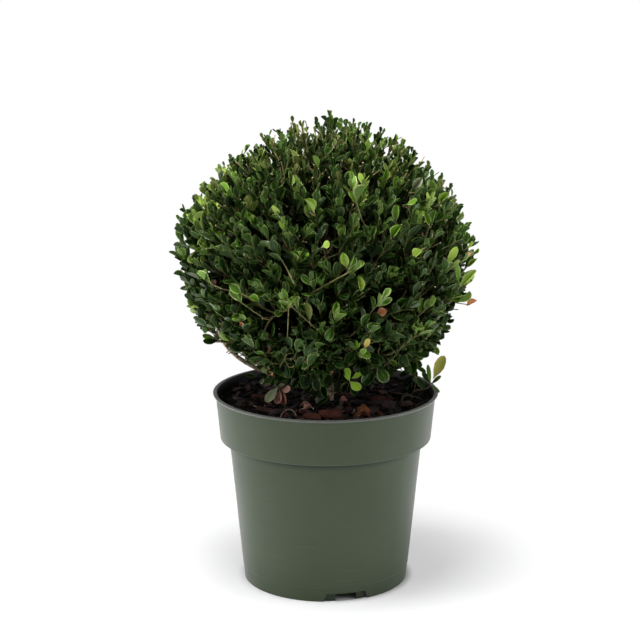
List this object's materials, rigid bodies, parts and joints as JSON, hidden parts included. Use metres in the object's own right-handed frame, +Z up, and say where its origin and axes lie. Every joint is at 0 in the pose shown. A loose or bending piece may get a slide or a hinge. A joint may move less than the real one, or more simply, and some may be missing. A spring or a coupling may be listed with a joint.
{
  "type": "potted japanese holly ball",
  "caption": "Small-leaved evergreen shrub clipped to a ball on a short forked trunk, growing in a round tapered nursery pot with a flared band and a notched foot ring.",
  "frame": {"origin": "middle of the pot's foot, at the level it stands on", "axes": "+Z up along the pot's axis; the plant's best side, as pictured, looks along -Y; +X is to the viewer's right"},
  "size_m": [0.3039, 0.2974, 0.4705],
  "materials": {
    "pot": "moulded olive green polypropylene, satin, with faint scuffs and a paler rolled lip",
    "soil": "moist dark peat with red-brown chips of bark",
    "bark": "smooth grey-brown bark with small pores and paler cut ends",
    "foliage": "glossy dark green leaves with paler undersides",
    "young_foliage": "soft glossy yellow-green young leaves"
  },
  "bodies": {
    "root": {"pot": "pot", "soil": "soil", "trunk": "bark", "bough_left_low": "bark", "bough_right_low": "bark", "bough_front_left": "bark", "bough_front_right": "bark", "bough_back_left": "bark", "bough_back_right": "bark", "bough_back": "bark", "crown": "foliage", "shoot_front": "young_foliage", "shoot_right": "young_foliage", "shoot_left": "young_foliage"}
  },
  "joints": []
}
